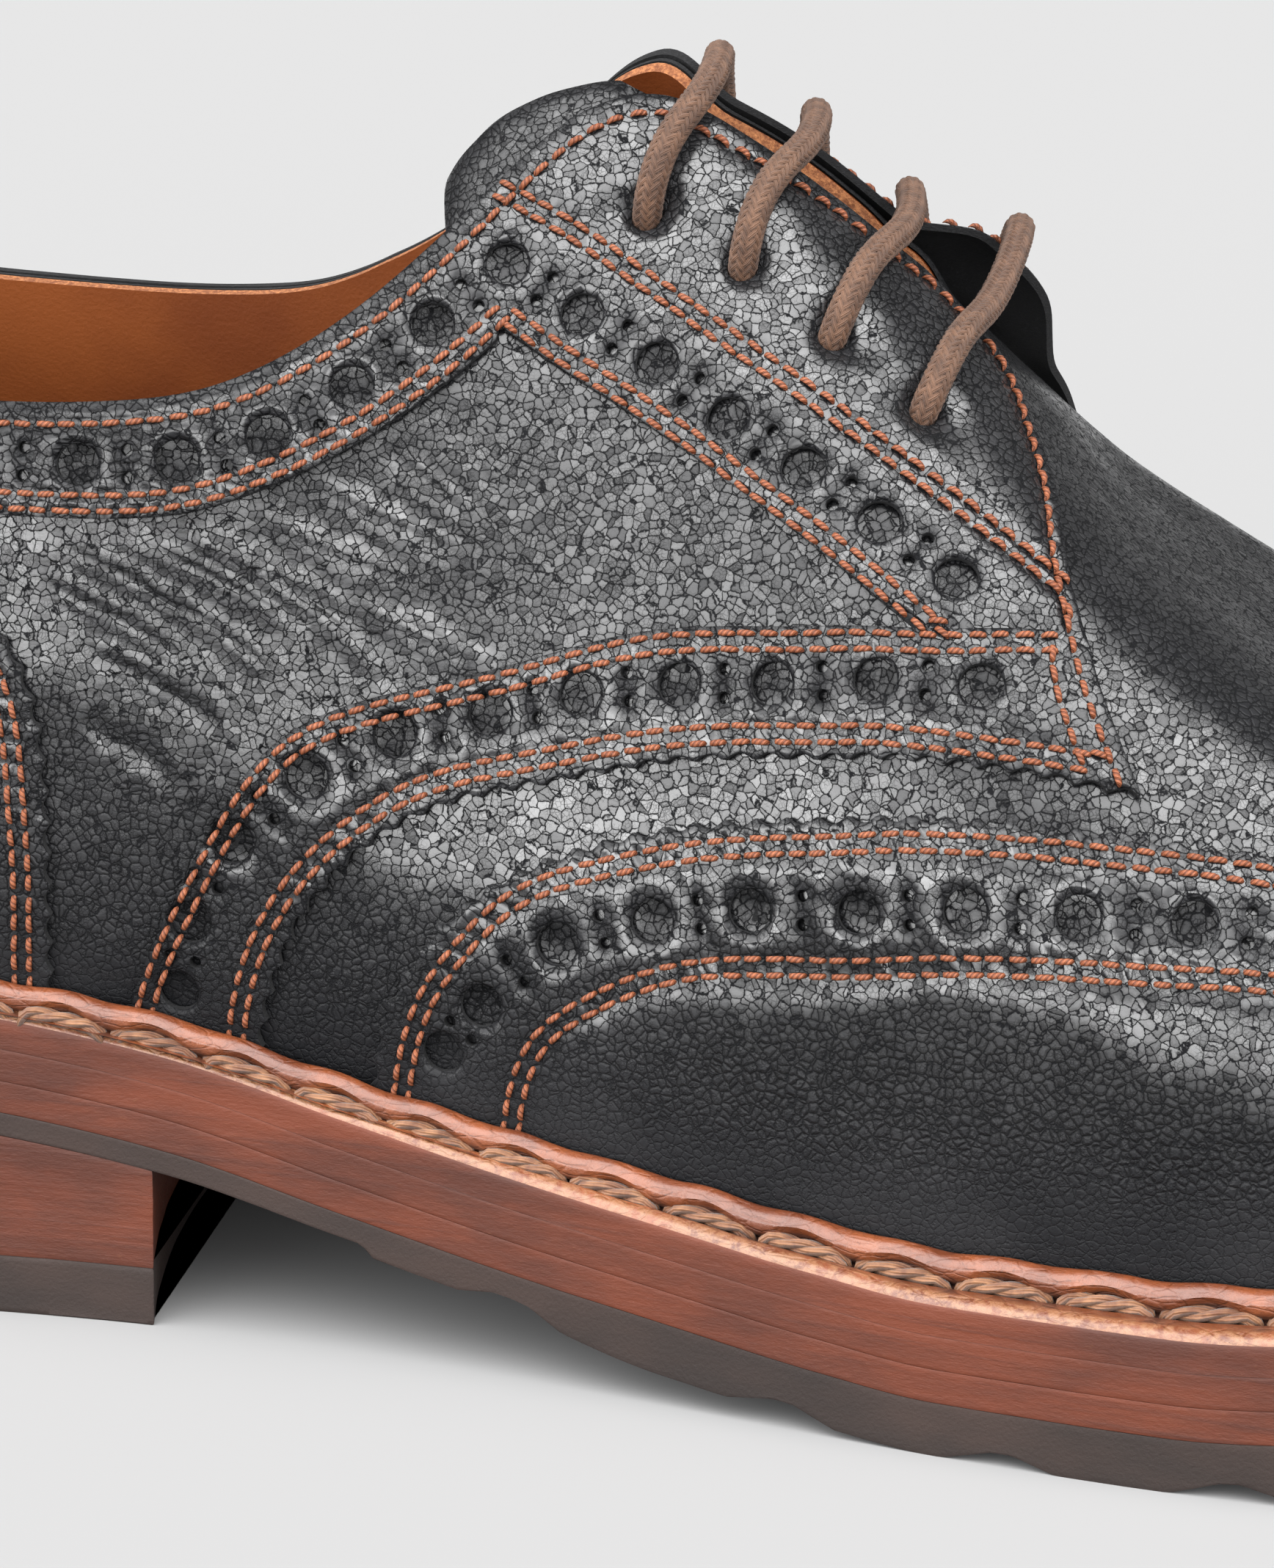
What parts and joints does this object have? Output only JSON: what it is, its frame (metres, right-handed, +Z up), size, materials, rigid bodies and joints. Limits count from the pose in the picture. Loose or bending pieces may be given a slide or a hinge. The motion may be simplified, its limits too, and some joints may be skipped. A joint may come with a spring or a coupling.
{
  "type": "brogue derby shoe",
  "caption": "Right full brogue derby shoe in black grained leather with a tan storm welt, stacked leather heel, rubber sole and straight-barred lace.",
  "frame": {"origin": "on the floor, under the middle of the sole's length and width", "axes": "+X towards the toe, +Y towards the inner (medial) side of the right foot, +Z up"},
  "size_m": [0.305, 0.1117, 0.1241],
  "materials": {
    "black_grain_leather": "pebbled grain, soft polish, orange-tan stitching",
    "tan_lining_leather": "smooth matt lining",
    "tan_welt_leather": "burnished, slightly glossy",
    "sole_leather": "red-brown waxed edge, fibrous",
    "grey_rubber": "matt moulded",
    "brown_lace": "round braided, waxed"
  },
  "bodies": {
    "root": {"upper": "black_grain_leather", "wing_cap": "black_grain_leather", "heel_counter": "black_grain_leather", "facing_lateral": "black_grain_leather", "facing_medial": "black_grain_leather", "strap_lateral": "black_grain_leather", "strap_medial": "black_grain_leather", "tongue": "black_grain_leather", "insole": "tan_lining_leather", "welt": "tan_welt_leather", "midsole_upper": "sole_leather", "midsole_lower": "sole_leather", "outsole": "grey_rubber", "heel_stack": "sole_leather", "heel_top_piece": "grey_rubber", "lace_bar_1": "brown_lace", "lace_bar_2": "brown_lace", "lace_bar_3": "brown_lace", "lace_bar_4": "brown_lace"}
  },
  "joints": []
}
